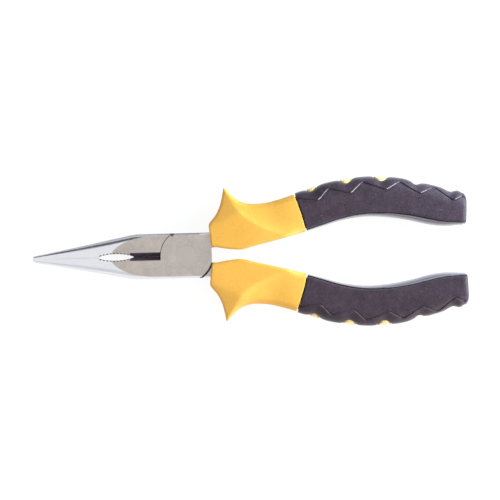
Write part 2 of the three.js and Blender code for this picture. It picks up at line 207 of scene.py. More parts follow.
def turn_outwards(mesh):
    """Flips every face of a closed mesh if its volume comes out below 0."""
    mesh.calc_loop_triangles()
    triangles = np.zeros(len(mesh.loop_triangles) * 3, np.int32)
    mesh.loop_triangles.foreach_get("vertices", triangles)
    a, b, c = corner_points(mesh)[triangles.reshape(-1, 3)].transpose(1, 0, 2)
    if np.einsum("ij,ij->", a, np.cross(b, c)) < 0:
        mesh.flip_normals()


def loft(name, rings):
    """Skins rings of equal length, and closes both ends with a flat face."""
    rings = np.asarray(rings, float)
    rows, n = rings.shape[:2]
    first = np.arange(rows - 1)[:, None] * n
    here = first + np.arange(n)
    ahead = first + (np.arange(n) + 1) % n
    faces = np.stack([here, ahead, ahead + n, here + n], -1).reshape(-1, 4).tolist()
    faces.append(list(range(n))[::-1])
    faces.append([(rows - 1) * n + k for k in range(n)])
    return mesh_object(name, rings.reshape(-1, 3), faces)


def zipped_loft(name, tops):
    """Skins rows of points over the upper side, mirrors them below, and closes the ends upright.

    Each row runs from one edge to the other, and its first and last points lie at z = 0.
    """
    tops = np.asarray(tops, float)
    rows, n = tops.shape[:2]
    below = tops[:, -2:0:-1] * (1, 1, -1)
    rings = np.concatenate([tops, below], axis=1)
    size = 2 * n - 2
    first = np.arange(rows - 1)[:, None] * size
    here = first + np.arange(size)
    ahead = first + (np.arange(size) + 1) % size
    faces = np.stack([here, ahead, ahead + size, here + size], -1).reshape(-1, 4).tolist()
    for row, flip in ((0, True), (rows - 1, False)):
        for k in range(n - 1):
            low = [(size - k) % size, (size - k - 1) % size]
            quad = [row * size + i for i in (k, k + 1, low[1], low[0])]
            quad = list(dict.fromkeys(quad))
            faces.append(quad[::-1] if flip else quad)
    return mesh_object(name, rings.reshape(-1, 3), faces)


def prism(name, outline, z0, z1):
    low, high = ([(x, y, z) for x, y in outline] for z in (z0, z1))
    return loft(name, [low, high])


def lathe(name, profile, segments=128):
    """Turns (radius, z) points about Z. The ends are closed flat."""
    angles = np.arange(segments) * 2 * math.pi / segments
    rings = [[(r * math.cos(a), r * math.sin(a), z) for a in angles] for r, z in profile]
    return loft(name, rings)


def combine(base, tools, operation):
    """Applies a boolean of base with each tool, and removes the tools."""
    for tool in tools:
        step = base.modifiers.new("step", "BOOLEAN")
        step.operation, step.solver, step.object = operation, "MANIFOLD", tool
        view = bpy.context.evaluated_depsgraph_get()
        joined = bpy.data.meshes.new_from_object(base.evaluated_get(view))
        base.modifiers.clear()
        base.data = joined
        bpy.data.objects.remove(tool)
    return base


def join(base, *tools):
    return combine(base, tools, "UNION")


def cut(base, *tools):
    return combine(base, tools, "DIFFERENCE")


def common(base, *tools):
    return combine(base, tools, "INTERSECT")


def rectangle(x0, x1, y0, y1):
    return [(x0, y0), (x1, y0), (x1, y1), (x0, y1)]


# ---- Surfaces from a field -------------------------------------------

def cell_points(value):
    """Which cells of a grid of samples the surface crosses, and its mean crossing of each one's edges."""
    cells = tuple(n - 1 for n in value.shape)
    total, hits = np.zeros((*cells, 3)), np.zeros(cells)
    for axis in range(3):
        for corner in ((0, 0), (0, 1), (1, 0), (1, 1)):
            first, last = np.insert(corner, axis, 0), np.insert(corner, axis, 1)
            near, far = (value[tuple(slice(o, o + n) for o, n in zip(end, cells))] for end in (first, last))
            crossed = (near < 0) != (far < 0)
            share = np.where(crossed, near / np.where(crossed, near - far, 1), 0)
            place = first + share[..., None] * np.eye(3)[axis]
            total += np.where(crossed[..., None], place, 0)
            hits += crossed
    used = hits > 0
    return used, np.argwhere(used) + total[used] / hits[used][:, None]


def crossing_quads(value, number):
    """A quad round each inner grid edge that the surface crosses, from the numbers of its four cells."""
    faces = []
    for axis in range(3):
        across = [k for k in range(3) if k != axis]
        crossed = (value < 0) != (np.roll(value, -1, axis) < 0)
        inner = [slice(1, n - 1) for n in value.shape]
        inner[axis] = slice(0, value.shape[axis] - 1)
        keep = np.zeros(value.shape, bool)
        keep[tuple(inner)] = True
        at = np.argwhere(crossed & keep)
        b, c = np.eye(3, dtype=int)[across]
        quads = np.stack([number[tuple((at - step).T)] for step in (0 * b, b, b + c, c)], -1)
        flip = (value[tuple(at.T)] < 0) ^ (axis == 1)
        quads[flip] = quads[flip][:, ::-1]
        faces.extend(quads.tolist())
    return faces


def net(field, low, high, step):
    """Vertices and quads over the surface where field(x, y, z) is 0, one vertex to each cell it crosses."""
    axes = [np.arange(a, b + step, step) for a, b in zip(low, high)]
    value = field(*np.meshgrid(*axes, indexing="ij", sparse=True))
    used, points = cell_points(value)
    number = np.full(used.shape, -1)
    number[used] = np.arange(len(points))
    return settle(field, points * step + np.array(low)), crossing_quads(value, number)


def settle(field, points, rounds=4, reach=0.01):
    """Moves points along the field's slope until they lie where it is 0."""
    for _ in range(rounds):
        here = field(*points.T)
        slope = np.stack([(field(*(points + reach * e).T) - here) / reach for e in np.eye(3)], -1)
        size = np.maximum((slope**2).sum(-1), 0.05)
        points = points - np.clip(here / size, -0.2, 0.2)[:, None] * slope
    return points


def rounded(a, b, radius):
    """What two fields share, with the edge between them rounded to a radius."""
    reach = np.hypot(np.maximum(a + radius, 0), np.maximum(b + radius, 0))
    return np.minimum(np.maximum(a, b), -radius) + reach


# ---- Forged half -----------------------------------------------------

nose_half_width = through([
    (TIP_X, 1.05), (-38, 4.58), (-21, 7.88), (-18.6, 8.22), (-16, HEAD_HALF_WIDTH), (12, HEAD_HALF_WIDTH),
])
nose_half_height = through([
    (TIP_X, 1.25), (-42, 2.9), (-28, 4.7), (-22, 5.45), (-18, 5.9), (-14, 6.5), (-8, 6.75), (12, 6.9),
])
# The power of the nose's superellipse section: 2 is an ellipse, and more is squarer.
nose_power = through([(TIP_X, 2.3), (-40, 2.35), (-28, 2.7), (-22, 3.2), (-16, 3.4), (12, 3.4)])


def quarter_section(x):
    """(y, z) points of the head's section at x, from its side up to the middle of its flat face."""
    a, b, power = nose_half_width(x), nose_half_height(x), nose_power(x)
    level = min(HALF_THICK / b, 0.9995)
    last = math.asin(level ** (power / 2))
    angle = np.linspace(0, last, 30)
    y = a * np.cos(angle) ** (2 / power)
    z = b * np.sin(angle) ** (2 / power)
    share = np.linspace(1, 0, 8)[1:]
    y_flat = y[-1] * share
    z_flat = np.minimum(b * (1 - (y_flat / a) ** power) ** (1 / power), HALF_THICK)
    return np.r_[y, y_flat], np.r_[z, z_flat]


def head_blank():
    """The closed head and nose of both halves together, before they are parted."""
    tip_round, tip_taper, taper_end = 0.3, 0.3, -14
    turns = np.linspace(0, math.pi / 2, 6)
    stations = [(TIP_X + tip_round * (1 - math.cos(t)), 1 - tip_taper * (1 - math.sin(t))) for t in turns]
    stations += [(x, 1) for x in np.arange(TIP_X + 0.7, taper_end, 0.4)]
    stations += [(x, 1) for x in np.arange(taper_end, SHOULDER_END, 1.2)] + [(SHOULDER_END, 1)]
    rings = []
    for x, scale in stations:
        y, z = quarter_section(x)
        y = np.r_[y, -y[-2::-1], -y[1:], y[-2:0:-1]] * scale
        z = np.r_[z, z[-2::-1], -z[1:], -z[-2:0:-1]] * scale
        rings.append(np.column_stack([np.full(len(y), x), y, z]))
    return loft("blank", rings)


tang_inner = through([
    (5, 2.75), (9.3, 2.75), (13, 3.1), (17, 4.6), (22, 6.6), (30, 8.9), (40, 11.6), (50, 14.9), (60, 17.2),
    (70, 17.7), (80, 16.4), (88, 14.9),
])
tang_width = through([(5, 5.4), (13, 5.6), (30, 5.5), (60, 4.7), (88, 3.6)])
tang_half_thick = through([(5, 4.7), (13, 4.7), (17, 4.0), (22, 3.2), (40, 2.7), (88, 2.2)])


def tang(grow=0):
    """The upper tang, or grown by a clearance the hollow that holds it."""
    rings = []
    for x in np.linspace(*TANG_SPAN, 80):
        y0, z = tang_inner(x) - grow, tang_half_thick(x) + grow
        y1 = y0 + tang_width(x) + 2 * grow
        corner, turns = 0.5, np.linspace(0, math.pi / 2, 4)
        ring = []
        for y, zc, start in ((y1, z, 0), (y0, z, 1), (y0, -z, 2), (y1, -z, 3)):
            cy = y - math.copysign(corner, y - (y0 + y1) / 2)
            cz = zc - math.copysign(corner, zc)
            for t in turns + start * math.pi / 2:
                ring.append((x, cy + corner * math.cos(t), cz + corner * math.sin(t)))
        rings.append(ring)
    return loft("tang", rings)


def diamonds(name, places, depth, waist=1.0):
    """Upright square bars, edge on, that leave V notches. A waist under 1 thins them at half height."""
    made = None
    for x, y in places:
        levels = [(-PAST, 1), (-HALF_THICK / 2, 1), (0, waist), (HALF_THICK / 2, 1), (PAST, 1)]
        rings = []
        for z, share in levels:
            d = depth * share
            rings.append([(x - d, y, z), (x, y - d, z), (x + d, y, z), (x, y + d, z)])
        bar = loft(name, rings)
        made = join(made, bar) if made else bar
    return made


def cutter_recess():
    """The space beside a cutting edge: an upright slot that closes in a bevel to the edge."""
    w, depth, land = (CUTTER[k] for k in ("half_width", "bevel_depth", "land"))
    mouth = HALF_THICK - CHAMFER
    section = [(1, PAST), (-w - CHAMFER, PAST), (-w - CHAMFER, HALF_THICK), (-w, mouth), (-w, depth),
               (0, land), (1, land)]
    sides = []
    for sign in (1, -1):
        rings = [[(x, y, sign * z) for y, z in section] for x in (CUTTER["front"], CUTTER["rear"])]
        sides.append(loft("recess", rings))
    return sides


def hollow_depth(x):
    """How far the hollow for round stock reaches into the jaw at x."""
    share = np.clip((x - PIPE_GRIP["centre"]) / PIPE_GRIP["reach"], -1, 1)
    return PIPE_GRIP["depth"] * (1 - share**2) ** PIPE_GRIP["fullness"]


def pipe_grip():
    """The toothed hollow of one jaw for gripping round stock."""
    g = PIPE_GRIP
    x = g["centre"] + g["reach"] * np.sin(np.linspace(-math.pi / 2, math.pi / 2, 60))
    outline = [(x[-1], 1), (x[0], 1), *zip(x, -hollow_depth(x))]
    along = [g["first"] + i * g["pitch"] for i in range(g["teeth"])]
    places = [(x, -hollow_depth(x)) for x in along]
    return [prism("hollow", outline, -PAST, PAST), diamonds("teeth", places, TOOTH_BITE, 0.1)]


def boss_profile(radius, low, high, mouth):
    """A turned tool of one radius, with a chamfer where it meets the flat face at height mouth."""
    edge = radius - CHAMFER if mouth > 0 else radius + CHAMFER
    if mouth > 0:
        return [(radius, low), (radius, mouth - CHAMFER), (edge, mouth), (edge, high)]
    return [(edge, low), (edge, mouth), (radius, mouth + CHAMFER), (radius, high)]


def rivet_profile(grow, past):
    r, head = RIVET["radius"] + grow, RIVET["head_radius"] + grow
    z = HALF_THICK
    half = [(head, z + past), (head, z - 0.05), (r, z - RIVET["head_depth"])]
    return half + [(a, -b) for a, b in reversed(half)]


def edge_notches(side):
    """Notches where the seam reaches the head's edges, on the rear face (-1) or the front face (1)."""
    x = math.sqrt((BOSS_RADIUS + SEAM) ** 2 - HEAD_HALF_WIDTH**2) + NOTCH["outset"]
    floor = HALF_THICK - NOTCH["depth"]
    z0, z1 = (-PAST, -floor) if side < 0 else (floor, PAST)
    bars = join(diamonds("notch", [(-x, side * HEAD_HALF_WIDTH)], NOTCH["nose_size"]),
                diamonds("notch", [(x, -side * HEAD_HALF_WIDTH)], NOTCH["tail_size"]))
    return common(bars, prism("near_face", rectangle(-WIDE, WIDE, -WIDE, WIDE), z0, z1))


def lap_pocket():
    """The hollow under the other half's boss, wider where it faces the shoulder and the tang."""
    lap, relief_start = LAP_GAP / 2, 3
    radius = BOSS_RADIUS + SHOULDER_GAP
    relief = lathe("relief", [(radius, -PAST), (radius, lap)], 256)
    common(relief, prism("behind", rectangle(relief_start, WIDE, 0, WIDE), -PAST, PAST))
    return [lathe("pocket", boss_profile(BOSS_RADIUS + SEAM, -PAST, lap, -HALF_THICK), 256), relief]


def forged_half():
    """The half with the lower jaw, the front boss and the upper tang."""
    shoulder_start = 4
    jaw = prism("jaw", rectangle(TIP_X - 1, 0, -WIDE, -JAW_GAP / 2), -PAST, PAST)
    shoulder = prism("shoulder", rectangle(shoulder_start, SHOULDER_END + 1, SHOULDER_Y, WIDE), -PAST, PAST)
    boss = lathe("boss", boss_profile(BOSS_RADIUS, LAP_GAP / 2, PAST, HALF_THICK), 256)
    common(boss, prism("ahead", rectangle(-WIDE, CROTCH_X, -WIDE, WIDE), -PAST, PAST))
    half = common(head_blank(), join(jaw, shoulder))
    join(half, tang())
    cut(half, *lap_pocket(), edge_notches(-1))
    join(half, common(head_blank(), cut(boss, edge_notches(1))))
    bite = SERRATION["bite"]
    rows = np.arange(SERRATION["first"], SERRATION["last"], SERRATION["pitch"])
    serrations = diamonds("serrations", [(x, bite * 0.05) for x in rows], bite)
    cut(half, lathe("bore", rivet_profile(RIVET["fit"], 1)), *cutter_recess(), *pipe_grip(), serrations)
    return half


# The steel's finishes, in the order of make_steel's list.
POLISHED, GROUND, TOOTHED, RECESSED, FORGED = range(5)


def steel_finish(centre, normal):
    """The finish of each face of a forging, from where it lies and which way it points.

    The bare numbers are margins round those places and directions.
    """
    x, y, z = centre.T
    nx, ny, nz = normal.T
    radius = np.hypot(x, y)
    ahead = x < CROTCH_X + 0.02
    flat = (np.abs(nz) > 0.999) & (np.abs(z) > HALF_THICK - 0.02)
    slot = (x > CUTTER["front"] - 0.1) & (x < CUTTER["rear"] + 0.1) & (np.abs(y) < 1.5)
    facing = np.abs(nx * x + ny * y) / np.maximum(radius, 1)
    upright = np.sqrt(np.maximum(1 - nz**2, 1e-6))
    radial = facing / upright > 0.985
    boss_wall = (np.abs(radius - BOSS_RADIUS - 0.15) < 0.35) & radial
    bore_wall = (radius < RIVET["radius"] + 1) & radial
    lap = (np.abs(z) < LAP_GAP) & (radius < BOSS_RADIUS + 1)
    near_notch = (np.abs(radius - BOSS_RADIUS - 0.4) < 1.2) & (np.abs(x) > 3) & (np.abs(y) > 6.5) & ~flat
    notch_floor = (np.abs(nz) > 0.9) & (np.abs(z) < HALF_THICK - 1)
    notch = near_notch & ((np.abs(nx) > 0.5) | notch_floor)
    teeth = (np.abs(y) < 2) & (x < CUTTER["front"] + 0.3) & (np.abs(ny) > 0.3) & (np.abs(nz) < 0.15)
    in_hollow = x > PIPE_GRIP["centre"] - PIPE_GRIP["reach"] + 0.45
    between_teeth = teeth & in_hollow & (np.abs(y) - hollow_depth(x) > 0.03)
    index = np.full(len(x), POLISHED)
    # The teeth's faces take darker steel: painted shade.
    index[teeth] = TOOTHED
    # The faces between the teeth take the dark recess steel: painted shade.
    index[between_teeth] = RECESSED
    index[~ahead] = FORGED
    # The slot, the seam walls, the lap and the notches take the dark recess steel: partly duller unground
    # steel, partly painted shade.
    index[(slot | boss_wall | bore_wall | lap | notch) & ahead] = RECESSED
    index[flat] = GROUND
    return index


# ---- Handle core -----------------------------------------------------

MOUTH = np.array([(9.25, 3.0), (8.35, 11.2)])  # the guard's front face, from its inner to its outer end
GUARD_FRONT_EDGE = plan_curve([
    (8.4, 11.2), (9.4, 12.55), (10.6, 13.95), (11.7, 15.7), (12.6, 17.8), (13.2, 19.9), (13.7, 22.2),
    (14.05, 24.1),
], 40)
GUARD_TIP = plan_curve([(14.05, 24.1), (14.22, 24.48), (14.6, 24.3)], 6)
GUARD_REAR_EDGE = plan_curve([
    (14.6, 24.3), (15.8, 22.95), (17.1, 21.55), (18.6, 20.3), (20.3, 19.3), (22.4, 18.6), (25.5, 18.3),
    (30, 18.7), (34.5, 19.8), (39.8, 21.4), (44, 22.7),
], 60)
GUARD_INNER_EDGE = plan_curve([
    (47, 8.55), (44.05, 7.75), (37.5, 6.0), (31, 4.35), (25, 2.95), (21.5, 2.0), (19, 1.75), (15, 2.15),
    (12, 2.65), (9.45, 3.0), (7.5, 3.2),
], 60)
GUARD_OUTLINE = np.vstack([
    GUARD_FRONT_EDGE[:1] - (1.5, 1.6), GUARD_FRONT_EDGE, GUARD_TIP[1:-1], GUARD_REAR_EDGE, GUARD_INNER_EDGE,
])
CREST = plan_curve([
    (13.6, 26.5), (14.4, 24.3), (15.7, 21.9), (17.1, 19.4), (18.75, 16.9), (21.1, 14), (26.3, 10.5),
    (31.5, 8.2), (38, 5.8), (44, 3.5),
], 48)
WING_CREASE = np.array([(11.8, 11.7), (18.8, 15.3)])
JUNCTION = {"inner": (44.05, 7.75), "outer": (39.8, 21.4), "bulge": 0.35}


def beyond_line(x, y, ends):
    """Distance from the straight line through two points, above 0 on its left and below 0 on its right."""
    (ax, ay), (bx, by) = ends
    return ((bx - ax) * (y - ay) - (by - ay) * (x - ax)) / math.hypot(bx - ax, by - ay)


def junction_line(offset=0):
    """The slightly bowed line where the guard ends and the grip begins, moved along the handle."""
    (xi, yi), (xo, yo) = JUNCTION["inner"], JUNCTION["outer"]
    t = np.linspace(-0.3, 1.3, 24)
    bow = JUNCTION["bulge"] * (1 - (2 * t - 1) ** 2)
    along = np.array([yo - yi, xi - xo]) / math.hypot(yo - yi, xi - xo)
    line = np.column_stack([xi + (xo - xi) * t, yi + (yo - yi) * t])
    return line + (bow + offset)[:, None] * along


def guard_height(x, y):
    """Half thickness of the guard at a plan point, before its rims are rounded."""
    away, side = line_distance(x, y, CREST)
    behind = away * side
    wing = WING_SLOPE * soft_positive(beyond_line(x, y, WING_CREASE), 1.2)
    shallower = SCOOP["depth"] - SCOOP["neck_depth"]
    depth = SCOOP["depth"] - shallower * smooth_step(x, *SCOOP["neck"])
    scoop = depth * (1 - np.exp(-soft_positive(behind, 0.35) / SCOOP["reach"]))
    facet = FACET_SLOPE * soft_positive(-behind, 1.0)
    return GUARD_HALF_THICK - wing - scoop - facet, behind


def guard_field(x, y, z):
    height, behind = guard_height(x, y)
    sides = outline_distance(x, y, GUARD_OUTLINE)
    front, rear, mouth, junction = (GUARD_RIM[k] for k in ("front", "rear", "mouth", "junction"))
    rim = front + (rear - front) * smooth_step(behind, -0.5, 4)
    body = rounded(sides, np.abs(z) - height, rim)
    body = rounded(body, beyond_line(x, y, MOUTH), mouth)
    away, side = line_distance(x, y, junction_line())
    return rounded(body, -away * side, junction)


def guard():
    low, high, step = (7.6, 1.0, -7.05), (46.2, 25.2, 7.05), 0.3
    return mesh_object("guard", *net(guard_field, low, high, step))


# ---- Grip ------------------------------------------------------------

grip_inner = through([
    (44.05, 7.75), (50, 9.45), (57, 11.45), (65.5, 12.62), (74, 12.2), (82, 10.85), (89, 9.2), (94.5, 8.5),
    (102, 8.75),
])
grip_outer = through([
    (39.8, 21.7), (42.5, 22.65), (48, 24.4), (53, 25.7), (59.5, 26.85), (66, 27.4), (72.5, 27.35),
    (79, 26.55), (85, 25.2), (91, 23.6), (97, 21.95), (99.7, 21.8), (101.5, 20.6),
])
# How far the inner side of the grip swells out past the edge of its flat face.
grip_swell = through([(44, 0.05), (58, 0.4), (72, 0.95), (88, 1.6), (96, 1.1), (102, 0.4)])
GRIP_FRONT = {"inner": JUNCTION["inner"][0], "outer": JUNCTION["outer"][0]}
GRIP_REAR = {"inner": 100.9, "outer": 101.5}
END_ROUND = 1.2
END_TUCK = 2.0  # how much further the outer corner of the grip's end is rounded
SPINE_ROUND = 5.6  # how far from the spine the grip begins to round over
ZIGZAG = [
    (38, 19.3), (41.2, 20.0), (49.0, 19.1), (52.7, 23.4), (60.9, 21.3), (65.2, 25.5), (73.8, 22.3),
    (78.8, 25.2), (86.1, 20.6), (91.3, 23.0), (98.4, 17.8), (102.5, 20.0), (106, 22),
]


def scallops(x):
    """The grip's dips at its windows."""
    wave = np.cos(2 * math.pi * (x - WINDOW["first"]) / WINDOW["pitch"])
    return -SCALLOP * ((1 + wave) / 2) ** 2.5


def zigzag_line():
    """The edge of the band along the grip's spine: straight flanks with rounded turns."""
    x = np.arange(38, 106, 0.15)
    corners = np.array(ZIGZAG)
    y = np.interp(x, corners[:, 0], corners[:, 1])
    reach = 8
    window = np.hanning(2 * reach + 3)[1:-1]
    padded = np.r_[np.full(reach, y[0]), y, np.full(reach, y[-1])]
    return np.column_stack([x, np.convolve(padded, window / window.sum(), "valid")])


ZIGZAG_LINE = zigzag_line()


def grip_span(s, dips=1):
    """The plan points where the grip's section meets its inner and outer edges, at share s of its length."""
    xi = GRIP_FRONT["inner"] + (GRIP_REAR["inner"] - GRIP_FRONT["inner"]) * s
    xo = GRIP_FRONT["outer"] + (GRIP_REAR["outer"] - GRIP_FRONT["outer"]) * s
    return np.array([xi, grip_inner(xi)]), np.array([xo, grip_outer(xo) + dips * scallops(xo)])


def swell_at(s):
    """How far the grip's inner side swells out at share s of its length."""
    first, length = 44, 58
    return grip_swell(first + length * s)


def zigzag_reach(inner, outer):
    """Distance from inner, along the section, at which it crosses the zigzag."""
    unit = (outer - inner) / np.linalg.norm(outer - inner)
    along = (ZIGZAG_LINE - inner) @ unit
    off = (ZIGZAG_LINE - inner) @ np.array([unit[1], -unit[0]])
    i = np.argmin(np.abs(off))
    j = i + 1 if off[i] < 0 else i - 1
    share = off[i] / (off[i] - off[j])
    return along[i] + (along[j] - along[i]) * share


def over(q, power):
    """A superellipse's height from 1 at q = 0 down to 0 at q = 1."""
    return (1 - np.clip(q, 0, 1) ** power) ** (1 / power)


def grip_section(s, dips=1):
    """(u, z) points over the grip's section, which runs u = width from its inner edge to its spine.

    They are the round inner side, a groove, the flat face, the wall that steps up to the band, and the
    band, which rounds over down to the spine.
    """
    inner, outer = grip_span(s, dips)
    width = np.linalg.norm(outer - inner)
    edge = 0.4 + swell_at(s)
    face = GRIP_HALF_THICK - BAND_STEP
    shelf = face - 0.75
    step = zigzag_reach(inner, outer)

    def crown(u):
        return over((u - width + SPINE_ROUND) / SPINE_ROUND, 2.5)

    turn = np.linspace(0, math.pi / 2, 14)
    side_u = edge * (1 - np.cos(turn) ** 1.3)
    side_z = shelf * np.sin(turn) ** 0.8
    groove_u = edge + np.array([0.06, 0.17, 0.3, 0.42, 0.6, 0.85])
    groove_z = face - np.array([0.95, 1.5, 1.3, 0.3, 0.06, 0.0])
    face_u = np.linspace(groove_u[-1], step - 0.7, 16)[1:]
    wall_u = step + np.array([-0.55, -0.42, -0.3, -0.2, -0.08, 0.05, 0.2, 0.38, 0.6])
    rise = np.array([0, -0.12, -0.75, -0.7, 0.1, 0.6, 0.86, 0.97, 1])
    wall_z = GRIP_HALF_THICK * crown(wall_u) - BAND_STEP * (1 - rise)
    start = np.clip((wall_u[-1] - width + SPINE_ROUND) / SPINE_ROUND, 0, 1)
    round_turn = np.linspace(math.asin(start**1.25), math.pi / 2, 20)[1:]
    band_u = width - SPINE_ROUND + SPINE_ROUND * np.sin(round_turn) ** 0.8
    band_z = GRIP_HALF_THICK * np.cos(round_turn) ** 0.8
    band_z[-1] = 0
    u = np.r_[side_u, groove_u, face_u, wall_u, band_u]
    z = np.r_[side_z, groove_z, GRIP_HALF_THICK * crown(face_u) - BAND_STEP, wall_z, band_z]
    return inner, outer, width, u, z


def grip_row(s, inset=0, push=0, dips=1, tuck=0):
    """A row of points over the grip at share s, drawn in by inset and pushed along the handle.

    A tuck draws its outer edge in further.
    """
    inner, outer, width, u, z = grip_section(s, dips)
    unit = (outer - inner) / width
    along = np.array([unit[1], -unit[0]])
    bow = JUNCTION["bulge"] * 4 * (u / width) * (1 - u / width) * (1 - smooth_step(s, 0, 0.15))
    u = width / 2 + (u - width / 2) * (1 - 2 * inset / width) - tuck * u / width
    z = np.maximum(z - inset * smooth_step(z, 0, 2), 0)
    plan = inner + u[:, None] * unit + (bow + push)[:, None] * along
    return np.column_stack([plan, z])


def window_depth(points):
    """How far the grip's surface sinks towards each window's rim."""
    sunk = np.zeros(len(points))
    outside = points[:, 1] > grip_outer(points[:, 0]) - 5
    for i, (a, b) in enumerate(WINDOW_SIZES):
        x = WINDOW["first"] + i * WINDOW["pitch"]
        power = WINDOW["power"]
        near = (np.abs((points[:, 0] - x) / a) ** power + np.abs(points[:, 2] / b) ** power) ** (1 / power)
        rim = WINDOW["sunk_rim"] * (1 - smooth_step(near, 0.95, 1.3))
        sunk = np.maximum(sunk, np.where(outside, rim, 0))
    return sunk


def grip_skin():
    """The grip's outer surface, from the lip that meets the guard to the rounded end."""
    lip = ((1.3, 0.03), (1.3, 0.36), (0.5, 0.46), (0.08, 0.52))  # how far each row is drawn in and pushed
    rows = [grip_row(0, inset, push) for inset, push in lip]
    rows += [grip_row(s, 0, lip[-1][1] * (1 - smooth_step(s, 0, 0.02))) for s in np.linspace(0.004, 1, 265)]
    reach = GRIP_END_X - (GRIP_REAR["inner"] + GRIP_REAR["outer"]) / 2
    for turn in np.linspace(0, math.pi / 2, 9)[1:]:
        closing = 1 - math.cos(turn)
        rows.append(grip_row(1, END_ROUND * closing, reach * math.sin(turn), 1, END_TUCK * closing))
    rows = np.array(rows)
    points = rows.reshape(-1, 3)
    points[:, 1] -= window_depth(points)
    return zipped_loft("grip", rows)


def window_tools(grow, name="window"):
    """Upright-sided plugs through the grip's spine, one at each window."""
    tools = []
    turn = np.linspace(0, 2 * math.pi, 64, endpoint=False)
    for i, (a, b) in enumerate(WINDOW_SIZES):
        x = WINDOW["first"] + i * WINDOW["pitch"]
        px = x + (a + grow) * np.sign(np.cos(turn)) * np.abs(np.cos(turn)) ** (2 / WINDOW["power"])
        pz = (b + grow) * np.sign(np.sin(turn)) * np.abs(np.sin(turn)) ** (2 / WINDOW["power"])
        y = grip_outer(x)
        rings = [np.column_stack([px, np.full(len(px), level), pz]) for level in (y - 4.2, y + 3)]
        tools.append(loft(name, rings))
    return tools


def shaft(grow, first, last):
    """The core under the grip, or grown by a clearance the hollow in the grip."""
    rows, points, length = [], 24, 60
    for s in np.linspace(first, last, 60):
        nearest = min(max(s, 0), 1)
        inner, outer = grip_span(nearest)
        width = np.linalg.norm(outer - inner)
        unit = (outer - inner) / width
        wall = GRIP_WALL - grow
        u = np.linspace(wall + 0.6 * swell_at(s), width - wall, points)
        z = (SHAFT_HALF_THICK + grow) * over(np.abs(np.linspace(-1, 1, points)), 3)
        z[[0, -1]] = 0
        past_end = (s - nearest) * length
        plan = inner + u[:, None] * unit + past_end * np.array([unit[1], -unit[0]])
        rows.append(np.column_stack([plan, z]))
    return zipped_loft("shaft", rows)


def pads():
    """The raised pads of the core that fill the grip's windows."""
    shares = np.linspace(0, 0.9, 120)
    sinks = PAD_SINK["all"] + PAD_SINK["last"] * smooth_step(shares, 0.58, 0.68)
    skin = zipped_loft("pad_skin", [grip_row(s, sink, 0, 0) for s, sink in zip(shares, sinks)])
    plugs = window_tools(-0.1, "pad")
    made = plugs[0]
    for plug in plugs[1:]:
        join(made, plug)
    return common(made, skin)


def handle_core():
    core = join(guard(), shaft(0, -0.06, 0.93))
    join(core, pads())
    socket_fit, tang_fit = 0.03, 0.08
    z = HALF_THICK + socket_fit
    x1, y0, y1 = SHOULDER_END + socket_fit, SHOULDER_Y - socket_fit, HEAD_HALF_WIDTH + socket_fit
    return cut(core, tang(tang_fit), prism("socket", rectangle(TANG_SPAN[0], x1, y0, y1), -z, z))


def handle_grip():
    return cut(grip_skin(), shaft(0.15, -0.1, 0.935), *window_tools(0))


# ---- Materials -------------------------------------------------------

class Finish:
    """A material's node tree, with short calls for the few kinds of node used here."""

    def __init__(self, name, **settings):
        self.material = bpy.data.materials.new(name)
        self.material.use_nodes = True
        self.tree = self.material.node_tree
        self.shader = self.tree.nodes["Principled BSDF"]
        self.place = self.tree.nodes.new("ShaderNodeTexCoord").outputs["Object"]
        for socket, value in settings.items():
            self.shader.inputs[socket.replace("_", " ").title().replace("Ior", "IOR")].default_value = value

    def add(self, kind, inputs, **settings):
        node = self.tree.nodes.new("ShaderNode" + kind)
        for key, value in settings.items():
            setattr(node, key, value)
        for key, value in inputs.items():
            self.feed(node.inputs[key], value)
        return node

    def feed(self, socket, value):
        """Links another node's socket to this one, or sets this one's value."""
        if isinstance(value, bpy.types.NodeSocket):
            self.tree.links.new(value, socket)
        else:
            socket.default_value = value

    def stretched(self, factors, turn=0.0):
        inputs = {"Vector": self.place, "Scale": factors, "Rotation": (0, 0, turn)}
        return self.add("Mapping", inputs).outputs["Vector"]

    def noise(self, scale, detail=3.0, rough=0.55, vector=None):
        """Noise from 0 to 1, with features about 1 / scale metres across."""
        inputs = {"Vector": vector or self.place, "Scale": scale, "Detail": detail, "Roughness": rough}
        return self.add("TexNoise", inputs).outputs["Fac"]

    def dots(self, scale, size, rarity):
        """Small round spots, 1 at their middle, in one of about rarity cells."""
        cells = self.add("TexVoronoi", {"Vector": self.place, "Scale": scale})
        spot = self.ranged(cells.outputs["Distance"], size, 0, 0, 1)
        chosen = self.add("SeparateColor", {"Color": cells.outputs["Color"]}).outputs["Red"]
        pick = self.ranged(chosen, 1 - 1 / rarity, 1 - 1 / rarity + 0.01, 0, 1)
        return self.math("MULTIPLY", spot, pick)

    def ranged(self, value, from_low, from_high, low, high):
        inputs = {"Value": value, "From Min": from_low, "From Max": from_high, "To Min": low, "To Max": high}
        return self.add("MapRange", inputs).outputs["Result"]

    def math(self, operation, a, b):
        return self.add("Math", {0: a, 1: b}, operation=operation).outputs[0]

    def blend(self, factor, first, second):
        """A colour that goes from first to second as the factor goes from 0 to 1."""
        node = self.add("Mix", {}, data_type="RGBA")
        usable = [s for s in node.inputs if s.enabled and s.type in ("RGBA", "VALUE")]
        for key, value in {"Factor": factor, "A": first, "B": second}.items():
            self.feed(next(s for s in usable if s.name == key), value)
        return next(s for s in node.outputs if s.enabled)

    def colour(self, *blend):
        self.feed(self.shader.inputs["Base Color"], self.blend(*blend))

    def roughen(self, *ranged):
        self.feed(self.shader.inputs["Roughness"], self.ranged(*ranged))

    def bump(self, height, distance):
        made = self.add("Bump", {"Height": height, "Distance": distance, "Strength": 1.0})
        self.feed(self.shader.inputs["Normal"], made.outputs["Normal"])


def tone(r, g, b):
    return (r, g, b, 1)


